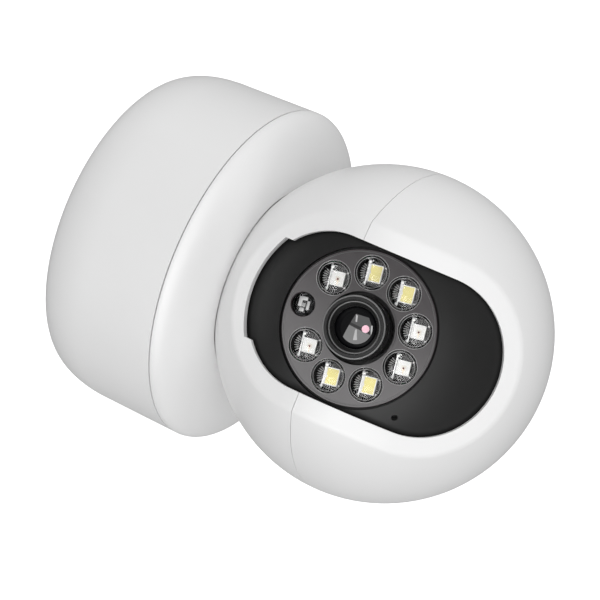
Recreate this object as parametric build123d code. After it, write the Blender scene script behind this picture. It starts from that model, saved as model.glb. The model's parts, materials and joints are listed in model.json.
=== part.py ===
"""Pan and tilt security camera: a round base, a ball that pans on it, and a drum that tilts in the ball.

+Z is the pan axis and -Y is the way the lens faces. The origin is the centre of the face that the
camera stands on, which is also the face that goes against a wall or a ceiling. The tilting drum is
drawn about the ball's centre with its optical axis along +Z, and is then tilted into place.
"""
from build123d import *
from math import acos, cos, pi, radians, sin, sqrt, tan
import os

# Driving dimensions, in millimetres and degrees.
BALL_R = 34.2
BALL_Z = 62.0
BALL_IN_R = 31.6
SHELL_SEAM = 0.12
SLOT_R = 15.85
SLOT_EDGE_R = 32.35
LIP_R = 19.6
LIP_ROUND = 2.0
SLOT_FROM = 49.4
SLOT_TO = 95.1
NOTCH_HALF = 10.5
NOTCH_R = 20.0
NOTCH_AT = 87.8

DRUM_R = 31.2
DRUM_WALL = 1.6
DRUM_HALF = 16.9
DRUM_SPLIT = -6.0
REST_TILT = 78.3
PLATE_Z = 26.85
PLATE_R = 15.25
PLATE_GROOVE = 0.4
PLATE_T = 1.5
LED_RING_R = 10.9
LED_HOLE_R = 3.3
FLANGE_R = 3.55
LAMP_Y = 0.75
IR_ANGLES = (20, -20, 140, -140)
WHITE_ANGLES = (60, -60, 100, -100)
SENSOR_RING_R = 11.95
SENSOR_HOLE_R = 2.3
LENS_R = 6.15
LENS_FRONT_Z = 32.0
LENS_HOLE_R = 7.1
BOARD_TOP_Z = 24.2
MIC_AT = (13.1, 12.85, 25.23)
MIC_FRONT = 28.8
TILT_R = 5.0
SHAFT_R = 2.5
FIT = 0.05

BASE_R = 36.15
BASE_BACK_R = 35.85
BASE_WALL = 2.2
BASE_BACK_Z = 0.8
SEAM_Z = 29.5
SEAM_GAP = 0.3
FRONT_Z = 34.55
FRONT_FLAT_R = 24.75
DISH_R = BALL_R + 0.15
FLOOR_Z = 4.6
FLOOR_T = 2.4
RECESS_R = 29.0
PLATE_BACK_Z = 0.5
WALL_PLATE_R = 28.6
WALL_PLATE_T = 3.1
MOUNT_SPACING = 30.0
MOUNT_HOLE_R = 2.1
HOOK_RING_R = 20.0
HOOK_ANGLES = (90, 210, 330)
HOOK_TURN = 20.0
POST_RING_R = 27.5
POST_ANGLES = (40, 140, 220, 320)
PCB_Z = 12.0
PCB_T = 1.2
PORT_X = 6.0
BUTTON_X = 14.5
PORT_Z = 14.8
SPEAKER_ANGLE = 112.0

HUB_R = 8.0
HUB_BORE_R = 4.5
HUB_FLANGE_R = 13.0
HUB_END_Z = 19.4
HUB_FLAT_Y = 7.0
FLANGE_SCREW_RING_R = 10.6
FLANGE_SCREW_ANGLES = (90, 210, 330)
GEAR_Z = 20.4
GEAR_T = 3.0
MODULE = 0.8
RING_TEETH = 40
PINION_TEETH = 14
PRESSURE = 25.0
BACKLASH = 0.10
PINION_X = -(RING_TEETH + PINION_TEETH) * MODULE / 2 - 0.05
MOTOR_TOP_Z = 19.2


def disc(r, z0, z1, x=0.0, y=0.0):
    """A cylinder along Z between two heights."""
    return Pos(x, y, (z0 + z1) / 2) * Cylinder(r, z1 - z0)


def ring(r_out, r_in, z0, z1, x=0.0, y=0.0):
    """A tube along Z between two heights."""
    return disc(r_out, z0, z1, x, y) - disc(r_in, z0 - 1, z1 + 1, x, y)


def block(x0, x1, y0, y1, z0, z1):
    """A box between two corners."""
    return Pos((x0 + x1) / 2, (y0 + y1) / 2, (z0 + z1) / 2) * Box(x1 - x0, y1 - y0, z1 - z0)


def rod_x(r, x0, x1, y=0.0, z=0.0):
    """A cylinder along X."""
    return Pos((x0 + x1) / 2, y, z) * Rot(0, 90, 0) * Cylinder(r, x1 - x0)


def rod_y(r, y0, y1, x=0.0, z=0.0):
    """A cylinder along Y."""
    return Pos(x, (y0 + y1) / 2, z) * Rot(90, 0, 0) * Cylinder(r, y1 - y0)


def spin(edges):
    """Turns a closed outline in the XZ plane about Z."""
    return revolve(Plane.XZ * make_face(Curve() + edges), Axis.Z)


def fused(shapes):
    """One solid from pieces that touch or overlap."""
    whole = shapes[0]
    for shape in shapes[1:]:
        whole = whole + shape
    return whole


def on_circle(r, angle):
    """The point at a radius and an angle."""
    return r * cos(radians(angle)), r * sin(radians(angle))


def around(angle):
    """The point of the lamp ring at an angle from the drum's +Y, which points to the ball's pole."""
    return LED_RING_R * sin(radians(angle)), LED_RING_R * cos(radians(angle))


def pan_screw(head_r, head_t, shank_r, length):
    """A pan-head screw, pointing along +Z from the origin, with a cross in its head."""
    head = Pos(0, 0, -head_t / 2) * Cylinder(head_r, head_t)
    head = fillet(head.edges().group_by(Axis.Z)[0], head_t * 0.4)
    cross = Box(head_r * 1.1, head_r * 0.25, head_t) + Box(head_r * 0.25, head_r * 1.1, head_t)
    return head + disc(shank_r, -0.1, length) - Pos(0, 0, -head_t) * cross


def sphere_band(r_out, r_in):
    """The space between two spheres about the origin."""
    return Sphere(r_out) - Sphere(r_in)


def in_ball(shape):
    """Moves a shape drawn about the ball's centre to its height."""
    return Pos(0, 0, BALL_Z) * shape


def in_drum(shape):
    """Tilts a shape drawn on the optical axis to where it is at rest."""
    return Pos(0, 0, BALL_Z) * Rot(REST_TILT, 0, 0) * shape


def involute(angle):
    """The involute function of an angle in radians."""
    return tan(angle) - angle


def gear(teeth, z0, z1, turned):
    """A spur gear with involute flanks. A tooth is centred on the angle turned, in degrees."""
    pitch_r = MODULE * teeth / 2
    base_r = pitch_r * cos(radians(PRESSURE))
    tip_r = pitch_r + MODULE * 0.95
    root_r = pitch_r - MODULE * 1.25
    half = pi / (2 * teeth) - BACKLASH / (4 * pitch_r) + involute(radians(PRESSURE))
    low_r = max(base_r, root_r)
    radii = [low_r + (tip_r - low_r) * step / 4 for step in range(5)]
    flank = [(r, half - involute(acos(base_r / r))) for r in radii]
    if base_r > root_r:
        flank.insert(0, (root_r, half))
    tooth = [(r, -a) for r, a in flank] + [(r, a) for r, a in reversed(flank)]
    points = []
    for k in range(teeth):
        centre = radians(turned) + 2 * pi * k / teeth
        points += [(r * cos(centre + a), r * sin(centre + a)) for r, a in tooth]
    return extrude(Plane.XY.offset(z0) * make_face(Polyline(*points, close=True)), z1 - z0)


# ---------------------------------------------------------------- base

def base_cup():
    back_r = BASE_BACK_R - 4.3
    bend_z = BASE_BACK_Z + 11.1
    outline = [
        Line((0, BASE_BACK_Z), (back_r, BASE_BACK_Z)),
        EllipticalCenterArc((back_r, bend_z), 4.3, 11.1, 270, arc_size=90),
        Line((BASE_BACK_R, bend_z), (BASE_R, SEAM_Z)),
        Line((BASE_R, SEAM_Z), (0, SEAM_Z)),
        Line((0, SEAM_Z), (0, BASE_BACK_Z)),
    ]
    inner_z = FLOOR_Z + FLOOR_T
    inner_r = BASE_R - BASE_WALL
    low_r = inner_r - 3.2
    hollow = [
        Line((0, inner_z), (low_r, inner_z)),
        EllipticalCenterArc((low_r, inner_z + 6.0), 3.2, 6.0, 270, arc_size=90),
        Line((inner_r, inner_z + 6.0), (inner_r, SEAM_Z + 1)),
        Line((inner_r, SEAM_Z + 1), (0, SEAM_Z + 1)),
        Line((0, SEAM_Z + 1), (0, inner_z)),
    ]
    cup = spin(outline) - spin(hollow) - disc(RECESS_R, BASE_BACK_Z - 1, FLOOR_Z)
    for angle in HOOK_ANGLES:
        cup -= bayonet_slot(angle)
    for angle in POST_ANGLES:
        x, y = on_circle(POST_RING_R, angle)
        cup -= disc(2.3, FLOOR_Z - 1, FLOOR_Z + 1.4, x, y) + disc(1.25, FLOOR_Z, inner_z + 1, x, y)
    for x, y in pcb_screw_places():
        cup += ring(2.4, 0.85, inner_z - 0.1, PCB_Z, x, y)
    cup -= port_opening(PORT_X, PORT_Z, 9.3, 3.5)
    cup -= port_opening(PORT_X, PCB_Z - 1.1, 11.8, 1.5)
    cup -= rod_y(1.9, 25, 45, BUTTON_X, PORT_Z)
    return cup - speaker_grille()


def bayonet_slot(angle):
    """A slot that a hook's neck turns in, with a wide end that lets the hook's head through."""
    z0, z1 = FLOOR_Z - 1, FLOOR_Z + FLOOR_T + 1
    x, y = on_circle(HOOK_RING_R, angle)
    wide_x, wide_y = on_circle(HOOK_RING_R, angle + HOOK_TURN)
    arc = ring(HOOK_RING_R + 1.8, HOOK_RING_R - 1.8, z0, z1)
    far = HOOK_RING_R + 10
    corners = [(0, 0), on_circle(far, angle), on_circle(far, angle + HOOK_TURN)]
    wedge = extrude(Plane.XY.offset(z0) * make_face(Polyline(*corners, close=True)), z1 - z0)
    return (arc & wedge) + disc(1.8, z0, z1, x, y) + disc(3.4, z0, z1, wide_x, wide_y)


def port_opening(x, z, width, height):
    """A stadium-shaped hole through the side wall, along Y."""
    face = Plane.XZ.offset(-28) * Pos(x, z) * SlotOverall(width, height)
    return extrude(face, -15)


def speaker_grille():
    """Rows of small round holes through the side wall, in front of the loudspeaker."""
    holes = []
    for row in range(-2, 3):
        for column in range(-3, 4 - row % 2):
            turn = SPEAKER_ANGLE + (column + 0.5 * (row % 2)) * 3.4
            z = 18.0 + row * 1.8
            holes.append(Pos(0, 0, z) * Rot(0, 0, turn) * rod_x(0.55, 30, 40))
    return fused(holes)


def pcb_screw_places():
    return [(24.0, -12.0), (4.0, -26.0), (24.0, 10.0)]


def base_front_cover():
    """The ring and the dish that the ball sits in, with posts that the cup's screws go into."""
    low_z = SEAM_Z + SEAM_GAP
    fillet_z = low_z + 0.1
    dish_edge_r = sqrt(DISH_R ** 2 - (BALL_Z - FRONT_Z) ** 2)
    hole_r = HUB_R + 1.05
    under_r = DISH_R + 2.2
    dish_z = BALL_Z - sqrt(DISH_R ** 2 - hole_r ** 2)
    under_z = BALL_Z - sqrt(under_r ** 2 - hole_r ** 2)
    under_edge = (22.9, BALL_Z - sqrt(under_r ** 2 - 22.9 ** 2))
    mid = on_circle(DISH_R, -72)
    under_mid = on_circle(under_r, -66)
    round_r, round_h = BASE_R - FRONT_FLAT_R, FRONT_Z - fillet_z
    outline = [
        Line((33.8, SEAM_Z - 2.7), (33.8, low_z)),
        Line((33.8, low_z), (BASE_R, low_z)),
        Line((BASE_R, low_z), (BASE_R, fillet_z)),
        EllipticalCenterArc((FRONT_FLAT_R, fillet_z), round_r, round_h, 0, arc_size=90),
        Line((FRONT_FLAT_R, FRONT_Z), (dish_edge_r, FRONT_Z)),
        ThreePointArc((dish_edge_r, FRONT_Z), (mid[0], BALL_Z + mid[1]), (hole_r, dish_z)),
        Line((hole_r, dish_z), (hole_r, under_z)),
        ThreePointArc((hole_r, under_z), (under_mid[0], BALL_Z + under_mid[1]), under_edge),
        Line(under_edge, (25.5, 32.7)),
        Line((25.5, 32.7), (29.5, 32.3)),
        Line((29.5, 32.3), (32.2, 31.0)),
        Line((32.2, 31.0), (32.2, SEAM_Z - 2.7)),
        Line((32.2, SEAM_Z - 2.7), (33.8, SEAM_Z - 2.7)),
    ]
    cover = spin(outline)
    floor_top = FLOOR_Z + FLOOR_T
    for angle in POST_ANGLES:
        x, y = on_circle(POST_RING_R, angle)
        cover += ring(2.5, 1.15, floor_top + 0.1, 32.6, x, y)
    for x, y in motor_ears():
        cover += ring(2.2, 0.8, MOTOR_TOP_Z, 33.2, x, y)
    cover -= disc(HUB_R + 1.05, 20, 40)
    return cover


def motor_ears():
    return [(PINION_X - 1.0, 12.4), (PINION_X - 1.0, -12.4)]


def pan_bush():
    """A flanged bearing sleeve for the neck."""
    sleeve = ring(HUB_R + 1.0, HUB_R + FIT, 24.6, 28.5)
    return sleeve + ring(HUB_R + 3.2, HUB_R + FIT, 24.6, 26.0)


def cover_screws():
    screws = []
    for angle in POST_ANGLES:
        x, y = on_circle(POST_RING_R, angle)
        screws.append(Pos(x, y, FLOOR_Z + 1.4) * pan_screw(2.0, 1.2, 1.1, 9.0))
    return Compound(screws)


def motor_ear_plate():
    """The strip with round ends that a motor is screwed down by, along Y."""
    return extrude(Rot(0, 0, 90) * SlotOverall(29.4, 5.2), 0.4, both=True)


def pan_motor():
    """A geared stepper motor that hangs by two ears, with its shaft up through the pinion."""
    can = disc(9.8, 9.6, MOTOR_TOP_Z - 0.8, PINION_X - 1.0)
    can = fillet(can.edges().filter_by(GeomType.CIRCLE), 0.6)
    ears = Pos(PINION_X - 1.0, 0, MOTOR_TOP_Z - 0.4) * motor_ear_plate()
    motor = can + ears + disc(9.4, MOTOR_TOP_Z - 0.9, MOTOR_TOP_Z, PINION_X - 1.0)
    motor += disc(3.0, MOTOR_TOP_Z - 0.1, GEAR_Z - 0.5, PINION_X)
    motor += disc(1.5, MOTOR_TOP_Z, GEAR_Z + GEAR_T + 0.8, PINION_X)
    for x, y in motor_ears():
        motor -= disc(1.1, MOTOR_TOP_Z - 2, MOTOR_TOP_Z + 1, x, y)
    return motor


def pan_motor_screws():
    screws = [Pos(x, y, MOTOR_TOP_Z - 0.8) * pan_screw(1.9, 1.0, 0.75, 6.0) for x, y in motor_ears()]
    return Compound(screws)


def pan_pinion():
    wheel = gear(PINION_TEETH, GEAR_Z - 0.2, GEAR_Z + GEAR_T + 0.2, 180.0 / PINION_TEETH)
    return Pos(PINION_X, 0, 0) * (wheel - disc(1.5 + FIT, 10, 30))


def main_board():
    """The circuit board, cut away beside the motor."""
    board = disc(30.6, PCB_Z, PCB_Z + PCB_T) & block(-9.0, 40, -40, 40, 0, 40)
    for angle in POST_ANGLES:
        x, y = on_circle(POST_RING_R, angle)
        board -= disc(3.0, PCB_Z - 1, PCB_Z + 3, x, y)
    for x, y in pcb_screw_places():
        board -= disc(1.1, PCB_Z - 1, PCB_Z + 3, x, y)
    return board - Rot(0, 0, SPEAKER_ANGLE) * block(24.5, 40, -10.5, 10.5, 0, 30)


def board_screws():
    flip = Rot(180, 0, 0)
    screw = flip * pan_screw(1.8, 0.9, 0.8, 5.0)
    return Compound([Pos(x, y, PCB_Z + PCB_T) * screw for x, y in pcb_screw_places()])


def board_components():
    """The processor under its heat spreader, the radio's screening can, memory, coils and plugs."""
    top = PCB_Z + PCB_T
    chips = [
        block(12, 22, -8, 2, top, top + 1.3),
        block(-6, 6, -22, -10, top, top + 2.0),
        block(10, 16, -20, -15, top, top + 1.0),
        block(13, 18, 8, 12, top, top + 1.0),
        disc(2.0, top, top + 4.2, 2.0, 14.0),
        disc(2.0, top, top + 4.2, -4.0, 14.0),
        block(-4, 4, -3, 3, top, top + 3.4),
        block(8, 12, -26, -22, top, top + 1.9),
    ]
    return Compound(chips)


def usb_c_inlet():
    """A USB-C receptacle: a folded steel shell with its tongue, opening to the side."""
    wall_y = sqrt((BASE_R - BASE_WALL) ** 2 - (PORT_X + 4.6) ** 2)
    front = wall_y + 0.9
    plane = Plane.XZ.offset(-(front - 7.4)) * Pos(PORT_X, PORT_Z)
    outline = plane * SlotOverall(8.94, 3.16)
    shell = extrude(outline, -7.4) - extrude(plane * SlotOverall(8.34, 2.56), -9.0)
    back = extrude(outline, -1.0)
    tongue = block(PORT_X - 3.3, PORT_X + 3.3, front - 7.0, front - 0.9, PORT_Z - 0.35, PORT_Z + 0.35)
    foot = block(PORT_X - 3, PORT_X + 3, front - 7.4, front - 6.4, PCB_Z + PCB_T, PORT_Z)
    return shell + back + tongue + foot


def card_socket():
    """A memory-card socket under the board, open towards the slit in the wall."""
    z1 = PCB_Z
    shell = block(PORT_X - 6.4, PORT_X + 6.4, 15.6, 30.2, z1 - 1.9, z1)
    return shell - block(PORT_X - 5.6, PORT_X + 5.6, 16.4, 31, z1 - 1.6, z1 - 0.5)


def button_faces():
    """Where the reset button's cap ends outside the wall, and where its stem ends inside."""
    wall_y = sqrt(BASE_R ** 2 - BUTTON_X ** 2)
    return wall_y + 0.9, 27.3


def reset_button():
    outer_y, inner_y = button_faces()
    cap = rod_y(1.6, inner_y + 1.7, outer_y, BUTTON_X, PORT_Z)
    cap = fillet(cap.edges().group_by(Axis.Y)[-1], 0.4)
    collar = rod_y(2.5, inner_y + 1.2, inner_y + 2.0, BUTTON_X, PORT_Z)
    return cap + collar + rod_y(0.9, inner_y, inner_y + 1.3, BUTTON_X, PORT_Z)


def reset_switch():
    inner_y = button_faces()[1]
    low_z = PCB_Z + PCB_T
    can = block(BUTTON_X - 3, BUTTON_X + 3, inner_y - 4.6, inner_y - 1.2, low_z, low_z + 4.0)
    return can + rod_y(1.2, inner_y - 1.3, inner_y - 0.6, BUTTON_X, PORT_Z)


def speaker():
    """A small loudspeaker in a frame, with its cone towards the grille."""
    frame = block(27.2, 30.4, -8.5, 8.5, 12.0, 24.0)
    frame = fillet(frame.edges().filter_by(Axis.X), 2.0)
    frame -= Pos(29.6, 0, 18) * Rot(0, 90, 0) * extrude(Rot(0, 0, 90) * SlotOverall(14.6, 9.6), 2.0)
    cone = Pos(29.0, 0, 18) * Rot(0, 90, 0) * extrude(Rot(0, 0, 90) * SlotOverall(8.0, 4.6), 1.0)
    magnet = rod_x(4.4, 25.0, 27.3, 0, 18)
    return Rot(0, 0, SPEAKER_ANGLE) * (frame + cone + magnet)


def pan_cable():
    """The bundle of wires that goes up the middle of the neck."""
    return disc(1.6, PCB_Z + PCB_T + 3.4, 29.6)


# ---------------------------------------------------------------- wall plate

def wall_plate():
    """A round plate with two screw holes and three hooks that lock it to the base with a turn."""
    top_z = PLATE_BACK_Z + WALL_PLATE_T
    plate = disc(WALL_PLATE_R, PLATE_BACK_Z, top_z)
    plate = chamfer(plate.edges().filter_by(GeomType.CIRCLE), 0.4)
    plate -= ring(26.0, 21.0, PLATE_BACK_Z - 1, PLATE_BACK_Z + 0.6)
    for side in (-1, 1):
        x = side * MOUNT_SPACING / 2
        sink = Pos(x, 0, top_z - 0.95) * Cone(MOUNT_HOLE_R, MOUNT_HOLE_R + 1.9, 1.9)
        plate -= disc(MOUNT_HOLE_R, PLATE_BACK_Z - 1, top_z + 1, x) + sink
    for angle in HOOK_ANGLES:
        x, y = on_circle(HOOK_RING_R, angle)
        plate += disc(1.5, top_z - 0.1, FLOOR_Z + FLOOR_T + 1.5, x, y)
        plate += disc(3.0, FLOOR_Z + FLOOR_T + 0.3, FLOOR_Z + FLOOR_T + 1.6, x, y)
    grip = disc(7.0, top_z - 1.0, top_z + 1) - disc(5.6, top_z - 2, top_z + 2)
    return plate - grip


def rubber_foot_ring():
    pad = ring(25.9, 21.1, 0, PLATE_BACK_Z + 0.6)
    return fillet(pad.edges().group_by(Axis.Z)[0], 0.3)


# ---------------------------------------------------------------- panning ball

def slot_cutter():
    """What the slot and its flat lip take away from the ball, drawn about the ball's centre."""
    edge_h = sqrt(SLOT_EDGE_R ** 2 - SLOT_R ** 2)
    lip_h = sqrt(BALL_R ** 2 - LIP_R ** 2)
    far_r = LIP_R + 3.0
    far_h = lip_h + (lip_h - edge_h) / (LIP_R - SLOT_R) * (far_r - LIP_R)
    side = [(SLOT_R, 10), (SLOT_R, edge_h), (far_r, far_h), (far_r, 45)]
    both_sides = [(-x, h) for x, h in reversed(side)] + side
    wide = Plane.XZ * make_face(Polyline(*both_sides, close=True))
    half = Plane.XZ * make_face(Polyline((0, 10), *side, (0, 45), close=True))
    band = Rot(SLOT_FROM, 0, 0) * revolve(wide, Axis.X, SLOT_TO - SLOT_FROM)
    end = revolve(half, Axis.Z, 180)
    near_pole = Rot(SLOT_FROM, 0, 0) * end
    near_base = Rot(SLOT_TO, 0, 0) * Rot(0, 0, 180) * end
    return band, near_pole, near_base


def notch_cutter():
    """A cut that lets the lens tilt a little further towards the base."""
    reach = Rot(NOTCH_AT, 0, 0) * disc(NOTCH_R, 10, 45)
    width = block(-NOTCH_HALF, NOTCH_HALF, -45, 0, -45, 0)
    return reach & width


def slotted_ball():
    ball = sphere_band(BALL_R, BALL_IN_R)
    for cutter in slot_cutter():
        ball -= cutter
    rim = [e for e in ball.edges() if on_outside(e)]
    return fillet(rim, LIP_ROUND) - notch_cutter()


def on_outside(edge):
    """True for an edge that lies on the ball's outer surface."""
    return all(abs((edge @ t).length - BALL_R) < 0.02 for t in (0, 0.5))


def post(x, y, r, z_from, z_to):
    """A post inside the ball that ends at a height, cut to the inside of the wall."""
    return disc(r, z_from, z_to, x, y) & Sphere(BALL_IN_R + 0.8)


SCREW_POSTS = ((22.0, 14.0), (-22.0, 14.0))
PEG_POSTS = ((22.0, -14.0), (-22.0, -14.0))
BRACKET_POSTS = ((22.2, 8.2), (22.2, -8.2), (-22.2, 8.2), (-22.2, -8.2))


def head_lower_shell():
    shell = slotted_ball() & block(-40, 40, -40, 40, -40, -SHELL_SEAM / 2)
    for x, y in SCREW_POSTS + PEG_POSTS:
        shell += post(x, y, 2.6, -30, -SHELL_SEAM / 2)
    for x, y in BRACKET_POSTS:
        shell += post(x, y, 2.2, -30, -15) - disc(0.8, -22, -14, x, y)
    for x, y in SCREW_POSTS:
        shell -= disc(2.3, -40, -13, x, y) + disc(1.25, -20, 1, x, y)
    for x, y in PEG_POSTS:
        shell -= disc(1.4, -4, 1, x, y)
    shell -= sphere_band(BALL_R + 1, 33.15) & disc(HUB_FLANGE_R + FIT, -40, 0)
    shell -= disc(HUB_BORE_R, -40, -20)
    shell -= flex_run(32.2, 4.6, 26.0) & block(-6.5, 40, -5, 5, -40, 0)
    for angle in FLANGE_SCREW_ANGLES:
        x, y = on_circle(FLANGE_SCREW_RING_R, angle)
        shell -= disc(0.8, -40, -20, x, y)
    return in_ball(shell)


def head_upper_shell():
    shell = slotted_ball() & block(-40, 40, -40, 40, SHELL_SEAM / 2, 40)
    for x, y in SCREW_POSTS:
        shell += post(x, y, 2.6, SHELL_SEAM / 2, 30) - disc(1.0, -1, 9, x, y)
    for x, y in PEG_POSTS:
        shell += post(x, y, 2.6, SHELL_SEAM / 2, 30) + disc(1.2, -3, 1, x, y)
    return in_ball(shell)


def shell_screws():
    return Compound([in_ball(Pos(x, y, -13) * pan_screw(2.0, 1.2, 0.95, 20.0)) for x, y in SCREW_POSTS])


def neck_hub():
    """The neck under the ball: a curved flange let into the lower shell, and a hollow shaft."""
    flange = sphere_band(BALL_R, 33.2) & disc(HUB_FLANGE_R, -40, 0)
    hub = in_ball(flange) + disc(HUB_R, HUB_END_Z, BALL_Z - 33.6)
    hub -= disc(HUB_BORE_R, 0, 40)
    flat_top_z = GEAR_Z + GEAR_T + 0.1
    hub -= block(-20, 20, HUB_FLAT_Y, 20, 0, flat_top_z) + block(-20, 20, -20, -HUB_FLAT_Y, 0, flat_top_z)
    for angle in FLANGE_SCREW_ANGLES:
        x, y = on_circle(FLANGE_SCREW_RING_R, angle)
        hub -= disc(0.8, 20, 40, x, y)
    for x, y in retaining_screw_places():
        hub -= disc(0.6, HUB_END_Z - 1, HUB_END_Z + 5, x, y)
    return hub


def retaining_screw_places():
    return [(6.2, 0.0), (-6.2, 0.0)]


def hub_flange_screws():
    """Three small screws from under the ball that hold the neck's flange to the shell."""
    screws = []
    for angle in FLANGE_SCREW_ANGLES:
        x, y = on_circle(FLANGE_SCREW_RING_R, angle)
        z = BALL_Z - sqrt(33.6 ** 2 - FLANGE_SCREW_RING_R ** 2)
        screws.append(disc(0.75, z - 0.2, z + 2.0, x, y))
    return Compound(screws)


def pan_ring_gear():
    wheel = gear(RING_TEETH, GEAR_Z, GEAR_Z + GEAR_T, 0.0)
    bore = disc(HUB_R + FIT, 10, 30) & block(-20, 20, -HUB_FLAT_Y - FIT, HUB_FLAT_Y + FIT, 0, 40)
    rim = ring(14.0, 10.2, GEAR_Z + 1.9, 40) + ring(14.0, 10.2, 0, GEAR_Z + 1.1)
    return wheel - bore - rim


def hub_retaining_ring():
    low_z = HUB_END_Z - 1.0
    washer = ring(10.0, HUB_BORE_R, low_z, HUB_END_Z) + ring(10.0, HUB_R + FIT, low_z, GEAR_Z)
    for x, y in retaining_screw_places():
        washer -= disc(0.8, 10, 30, x, y)
    return washer


def hub_screws():
    z = HUB_END_Z - 1.0
    return Compound([Pos(x, y, z) * pan_screw(1.4, 0.8, 0.55, 5.0) for x, y in retaining_screw_places()])


def tilt_bracket(side):
    """An arm that stands in one cheek of the ball and carries one end of the tilt axis."""
    arm = block(17.4, 19.9, -8.2, 8.2, -13.2, 0) + rod_x(8.2, 17.4, 19.9)
    for y in (-1, 1):
        arm += block(17.4, 24.2, min(5.2 * y, 10.9 * y), max(5.2 * y, 10.9 * y), -15.0, -13.0)
    for x, y in BRACKET_POSTS[:2]:
        arm -= disc(1.1, -20, -10, x, y)
    if side > 0:
        return in_ball(arm - rod_x(TILT_R + 0.85, 10, 30))
    boss = arm + rod_x(5.0, 19.8, 22.6)
    boss -= rod_x(SHAFT_R + 0.02, 10, 30) & block(10, 30, -10, 10, -10, 1.92)
    return in_ball(mirror(boss, Plane.YZ))


def tilt_bush():
    """The bearing sleeve on the side that the wires go through."""
    return in_ball(rod_x(TILT_R + 0.8, 17.4, 19.9) - rod_x(TILT_R + FIT, 10, 30))


def tilt_shaft():
    """The tilt motor's shaft, with a flat, held still by the bracket."""
    return in_ball(rod_x(SHAFT_R, -22.4, -9.0) & block(-30, 0, -10, 10, -10, 1.9))


def bracket_screws():
    screw = Rot(180, 0, 0) * pan_screw(1.8, 1.0, 0.75, 6.0)
    return Compound([in_ball(Pos(x, y, -13) * screw) for x, y in BRACKET_POSTS])


def flex_run(r_out, half, x_to):
    """A strip that lies on the inside of the ball's wall, from the neck towards one cheek."""
    return (Sphere(r_out) & block(-half, x_to, -half, half, -40, 0)) - Sphere(r_out - 1.5)


def head_flex():
    """The flat cable from the neck to the tilt axis."""
    strip = sphere_band(31.95, 31.75) & block(-4.0, 24.6, -4, 4, -40, 0)
    rise = block(24.4, 24.6, -4, 4, -20.1, 3.0)
    plug = disc(1.6, 29.6 - BALL_Z, -31.8)
    return in_ball(strip + rise + plug + rod_x(1.2, 20.8, 24.5))


# ---------------------------------------------------------------- tilting drum

def drum_body():
    """The whole hollow drum: a ball with two flat sides."""
    outer = Sphere(DRUM_R) & block(-DRUM_HALF, DRUM_HALF, -40, 40, -40, 40)
    half = DRUM_HALF - DRUM_WALL
    return outer - (Sphere(DRUM_R - DRUM_WALL) & block(-half, half, -40, 40, -40, 40))


DRUM_POSTS = ((8.0, 22.0), (8.0, -22.0))


def drum_front_shell():
    drum = drum_body() & block(-40, 40, -40, 40, DRUM_SPLIT, 40)
    seat_z = PLATE_Z - PLATE_T
    seat_in_r = 13.4
    drum += ring(DRUM_HALF - 0.1, seat_in_r, seat_z - 1.3, seat_z) & Sphere(DRUM_R - 0.4)
    drum -= disc(PLATE_R + PLATE_GROOVE, seat_z, 40) + disc(seat_in_r, 22, 40)
    for angle in IR_ANGLES + WHITE_ANGLES:
        drum -= disc(FLANGE_R + 0.1, seat_z - 2, PLATE_Z, *around(angle))
    drum -= disc(SENSOR_HOLE_R, seat_z - 2, PLATE_Z, 0, -SENSOR_RING_R)
    for x, y in DRUM_POSTS:
        drum += disc(2.3, DRUM_SPLIT, 20, x, y) & Sphere(DRUM_R - 0.8)
        drum -= disc(0.9, DRUM_SPLIT - 1, 6, x, y)
    drum += rod_x(TILT_R, DRUM_HALF - 0.1, 20.6)
    drum -= rod_x(TILT_R - 1.6, 10, 30)
    drum -= rod_x(4.1, -20, -10)
    for y, z in tilt_motor_ears():
        drum -= rod_x(0.75, -16.3, -10, y, z)
    return in_drum(drum - mic_rod(0.65, 25, 35) - mic_rod(2.1, 20, MIC_FRONT + 0.1))


def mic_rod(r, near, far):
    """A cylinder on the line from the drum's centre through the microphone's hole."""
    plane = Plane(origin=(0, 0, 0), z_dir=MIC_AT)
    return plane * Pos(0, 0, (near + far) / 2) * Cylinder(r, far - near)


def drum_rear_cover():
    cover = drum_body() & block(-40, 40, -40, 40, -40, DRUM_SPLIT - 0.1)
    for x, y in DRUM_POSTS:
        cover += disc(2.3, -20, DRUM_SPLIT - 0.1, x, y) & Sphere(DRUM_R - 0.8)
    for x, y in DRUM_POSTS:
        cover -= disc(2.0, -40, -12, x, y) + disc(1.1, -20, 0, x, y)
    for k in range(-2, 3):
        cover -= block(-6, 6, k * 4 - 0.8, k * 4 + 0.8, -40, -25)
    return in_drum(cover)


def drum_screws():
    return Compound([in_drum(Pos(x, y, -12) * pan_screw(1.8, 1.2, 0.85, 14.0)) for x, y in DRUM_POSTS])


def face_plate():
    """The round plate round the lens, with a window for each lamp and a rim round the lens."""
    seat_z = PLATE_Z - PLATE_T
    plate = disc(PLATE_R, seat_z, PLATE_Z)
    for angle in IR_ANGLES + WHITE_ANGLES:
        plate -= disc(LED_HOLE_R, 0, 40, *around(angle))
    plate -= disc(SENSOR_HOLE_R, 0, 40, 0, -SENSOR_RING_R)
    plate = chamfer(plate.edges().group_by(Axis.Z)[-1], 0.15)
    plate += ring(LENS_HOLE_R + 0.3, LENS_HOLE_R, seat_z, PLATE_Z + 0.25)
    return in_drum(plate - disc(LENS_HOLE_R, 0, 40))


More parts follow.
